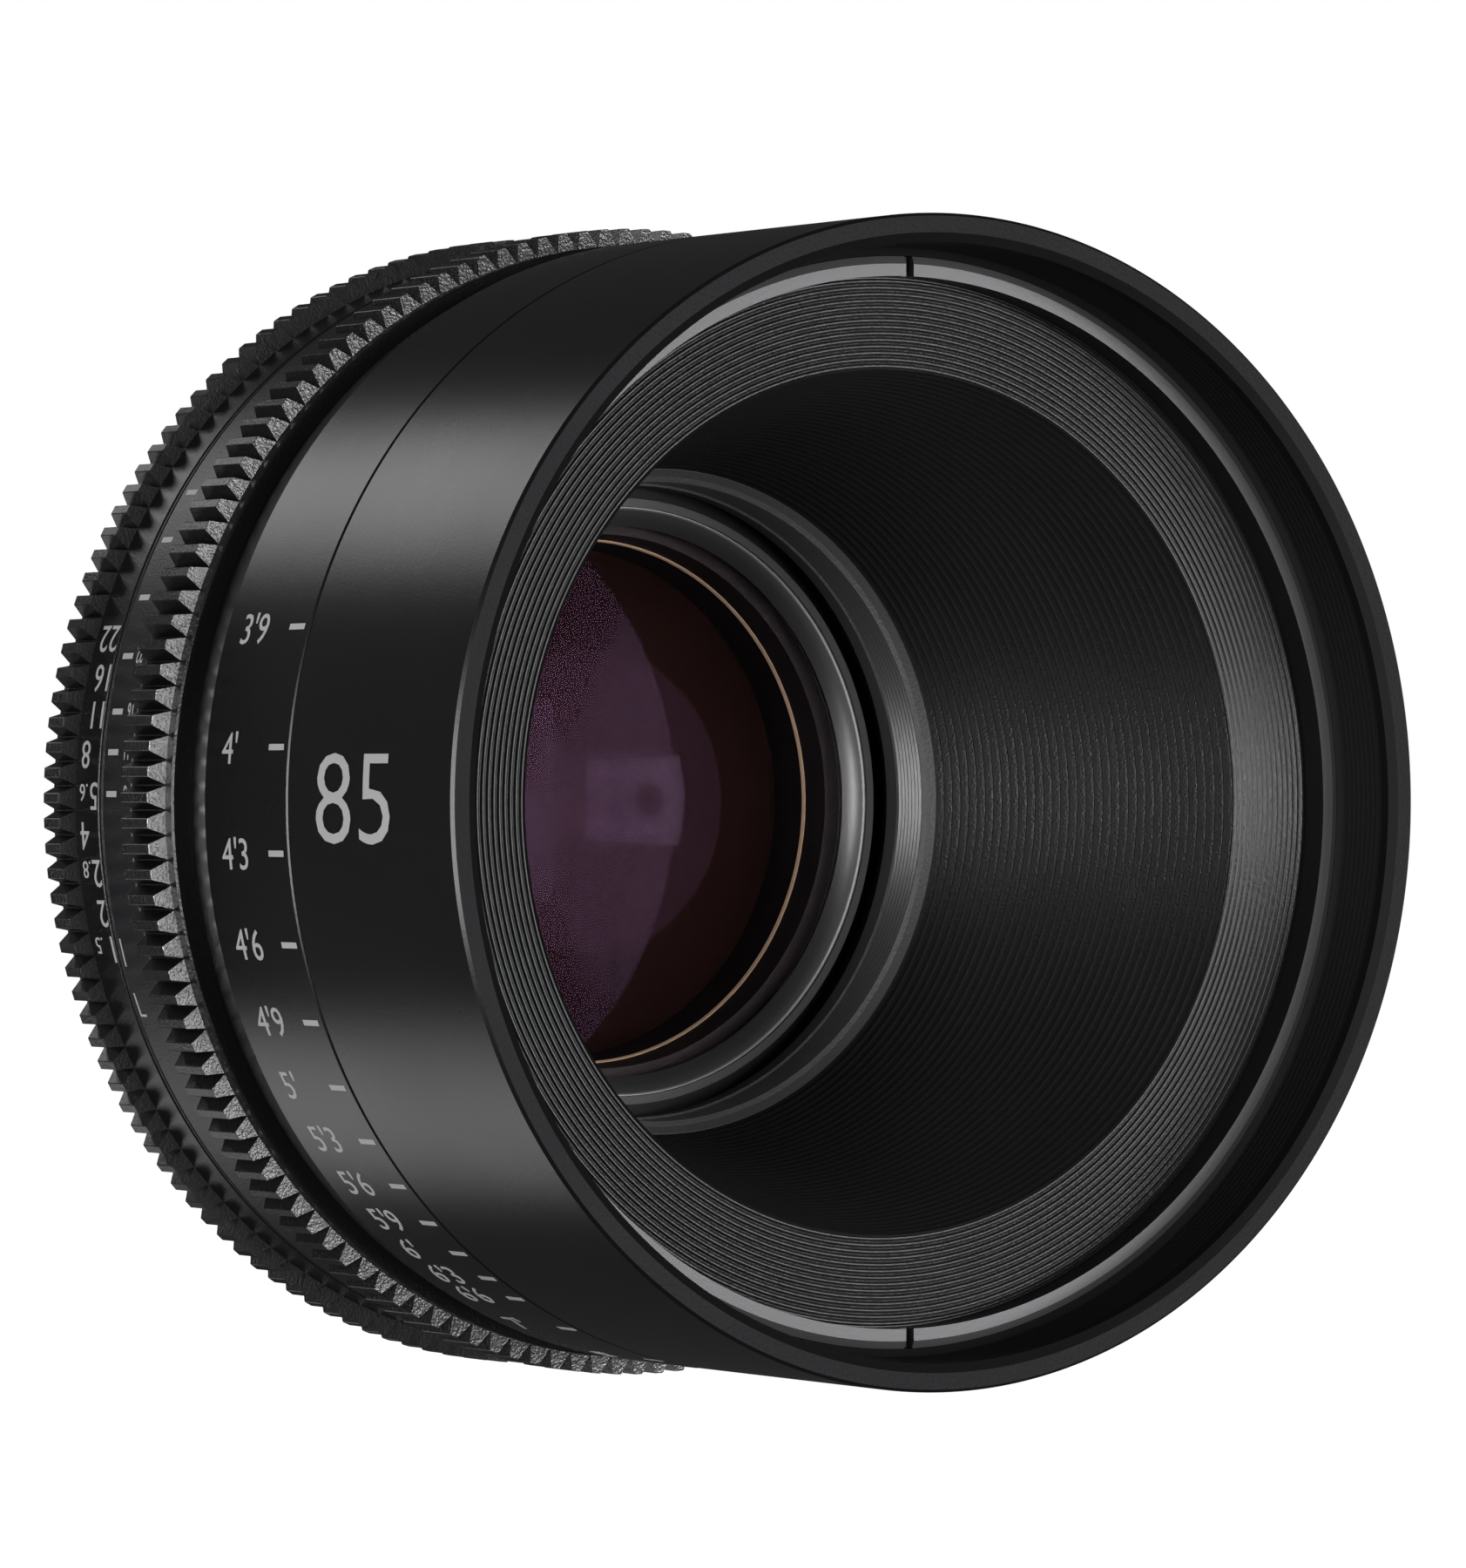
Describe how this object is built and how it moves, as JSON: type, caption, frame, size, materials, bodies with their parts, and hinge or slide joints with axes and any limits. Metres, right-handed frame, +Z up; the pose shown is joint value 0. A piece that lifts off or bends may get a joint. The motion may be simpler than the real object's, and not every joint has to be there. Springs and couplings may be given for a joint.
{
  "type": "cinema prime lens",
  "caption": "Manual cinema prime lens with deep flared front baffle, geared focus and iris rings, sliding optics, a bladed iris and a lugged rear mount.",
  "frame": {"origin": "centre of the mount face at the rear flange", "axes": "+Y runs back out of the mount along the lens axis, +Z is up, the index line is on -X"},
  "size_m": [0.1176, 0.1134, 0.1176],
  "materials": {
    "barrel_black": "satin black anodised",
    "gear_black": "satin black anodised",
    "baffle_black": "matte black anodised",
    "cell_black": "matte black anodised",
    "bevel_gray": "satin",
    "brass": "turned",
    "mount_steel": "turned",
    "steel": "plain",
    "coated_glass": "polished, coated",
    "blade_steel": "matte black"
  },
  "bodies": {
    "barrel": {"front_barrel": "barrel_black", "main_barrel": "barrel_black", "front_barrel_screws": "steel", "front_retaining_ring": "baffle_black", "cone_baffle": "baffle_black", "rear_baffle_ring": "baffle_black", "helicoid_retainer": "cell_black", "guide_keys": "brass", "index_barrel": "barrel_black", "rear_barrel": "barrel_black", "mount_shim": "mount_steel", "lens_mount": "mount_steel", "mount_screws": "steel"},
    "focus_ring": {"focus_scale_ring": "barrel_black", "focus_gear_ring": "gear_black", "focus_drive_key": "brass", "helicoid_sleeve": "brass"},
    "optics": {"carrier": "cell_black", "front_cell": "cell_black", "mid_cell": "cell_black", "front_retainer": "bevel_gray", "front_spacer": "cell_black", "iris_housing": "cell_black", "rear_cell": "cell_black", "rear_spacer": "cell_black", "rear_retainer": "cell_black", "front_element": "coated_glass", "second_element": "coated_glass", "third_element": "coated_glass", "fourth_element": "coated_glass", "fifth_element": "coated_glass", "rear_element": "coated_glass"},
    "iris_ring": {"iris_scale_ring": "barrel_black", "iris_gear_ring": "gear_black", "iris_drive_pin": "steel"},
    "iris_actuator": {"iris_cam_ring": "steel", "iris_drive_bar": "steel"},
    "iris_blade_01": {"iris_blade_01": "blade_steel"},
    "iris_blade_02": {"iris_blade_02": "blade_steel"},
    "iris_blade_03": {"iris_blade_03": "blade_steel"},
    "iris_blade_04": {"iris_blade_04": "blade_steel"},
    "iris_blade_05": {"iris_blade_05": "blade_steel"},
    "iris_blade_06": {"iris_blade_06": "blade_steel"},
    "iris_blade_07": {"iris_blade_07": "blade_steel"},
    "iris_blade_08": {"iris_blade_08": "blade_steel"},
    "iris_blade_09": {"iris_blade_09": "blade_steel"},
    "iris_blade_10": {"iris_blade_10": "blade_steel"},
    "iris_blade_11": {"iris_blade_11": "blade_steel"}
  },
  "joints": [
    {"name": "focus", "type": "hinge", "parent": "barrel", "child": "focus_ring", "pos_m": [0, -0.0484, 0], "axis": [0, 1, 0], "range_deg": [-48, 152]},
    {"name": "focus_travel", "type": "slide", "parent": "barrel", "child": "optics", "axis": [0, 1, 0], "range_m": [-0.00216, 0.00684]},
    {"name": "iris", "type": "hinge", "parent": "barrel", "child": "iris_ring", "pos_m": [0, -0.0217, 0], "axis": [0, -1, 0], "range_deg": [0, 36]},
    {"name": "iris_cam", "type": "hinge", "parent": "optics", "child": "iris_actuator", "pos_m": [0, -0.0124, 0], "axis": [0, -1, 0], "range_deg": [0, 36]},
    {"name": "iris_blade_01_swing", "type": "hinge", "parent": "optics", "child": "iris_blade_01", "pos_m": [-0.0246, -0.0097, 0], "axis": [0, 1, 0], "range_deg": [0, 35]},
    {"name": "iris_blade_02_swing", "type": "hinge", "parent": "optics", "child": "iris_blade_02", "pos_m": [-0.02069, -0.0097, 0.0133], "axis": [0, 1, 0], "range_deg": [0, 35]},
    {"name": "iris_blade_03_swing", "type": "hinge", "parent": "optics", "child": "iris_blade_03", "pos_m": [-0.01022, -0.0097, 0.02238], "axis": [0, 1, 0], "range_deg": [0, 35]},
    {"name": "iris_blade_04_swing", "type": "hinge", "parent": "optics", "child": "iris_blade_04", "pos_m": [0.0035, -0.0097, 0.02435], "axis": [0, 1, 0], "range_deg": [0, 35]},
    {"name": "iris_blade_05_swing", "type": "hinge", "parent": "optics", "child": "iris_blade_05", "pos_m": [0.01611, -0.0097, 0.01859], "axis": [0, 1, 0], "range_deg": [0, 35]},
    {"name": "iris_blade_06_swing", "type": "hinge", "parent": "optics", "child": "iris_blade_06", "pos_m": [0.0236, -0.0097, 0.00693], "axis": [0, 1, 0], "range_deg": [0, 35]},
    {"name": "iris_blade_07_swing", "type": "hinge", "parent": "optics", "child": "iris_blade_07", "pos_m": [0.0236, -0.0097, -0.00693], "axis": [0, 1, 0], "range_deg": [0, 35]},
    {"name": "iris_blade_08_swing", "type": "hinge", "parent": "optics", "child": "iris_blade_08", "pos_m": [0.01611, -0.0097, -0.01859], "axis": [0, 1, 0], "range_deg": [0, 35]},
    {"name": "iris_blade_09_swing", "type": "hinge", "parent": "optics", "child": "iris_blade_09", "pos_m": [0.0035, -0.0097, -0.02435], "axis": [0, 1, 0], "range_deg": [0, 35]},
    {"name": "iris_blade_10_swing", "type": "hinge", "parent": "optics", "child": "iris_blade_10", "pos_m": [-0.01022, -0.0097, -0.02238], "axis": [0, 1, 0], "range_deg": [0, 35]},
    {"name": "iris_blade_11_swing", "type": "hinge", "parent": "optics", "child": "iris_blade_11", "pos_m": [-0.02069, -0.0097, -0.0133], "axis": [0, 1, 0], "range_deg": [0, 35]}
  ],
  "couplings": [
    {"joint": "focus_travel", "follows": "focus", "m_per_rad": 0.0025783},
    {"joint": "iris_cam", "follows": "iris", "ratio": 1},
    {"joint": "iris_blade_01_swing", "follows": "iris", "ratio": 0.97222},
    {"joint": "iris_blade_02_swing", "follows": "iris", "ratio": 0.97222},
    {"joint": "iris_blade_03_swing", "follows": "iris", "ratio": 0.97222},
    {"joint": "iris_blade_04_swing", "follows": "iris", "ratio": 0.97222},
    {"joint": "iris_blade_05_swing", "follows": "iris", "ratio": 0.97222},
    {"joint": "iris_blade_06_swing", "follows": "iris", "ratio": 0.97222},
    {"joint": "iris_blade_07_swing", "follows": "iris", "ratio": 0.97222},
    {"joint": "iris_blade_08_swing", "follows": "iris", "ratio": 0.97222},
    {"joint": "iris_blade_09_swing", "follows": "iris", "ratio": 0.97222},
    {"joint": "iris_blade_10_swing", "follows": "iris", "ratio": 0.97222},
    {"joint": "iris_blade_11_swing", "follows": "iris", "ratio": 0.97222}
  ]
}
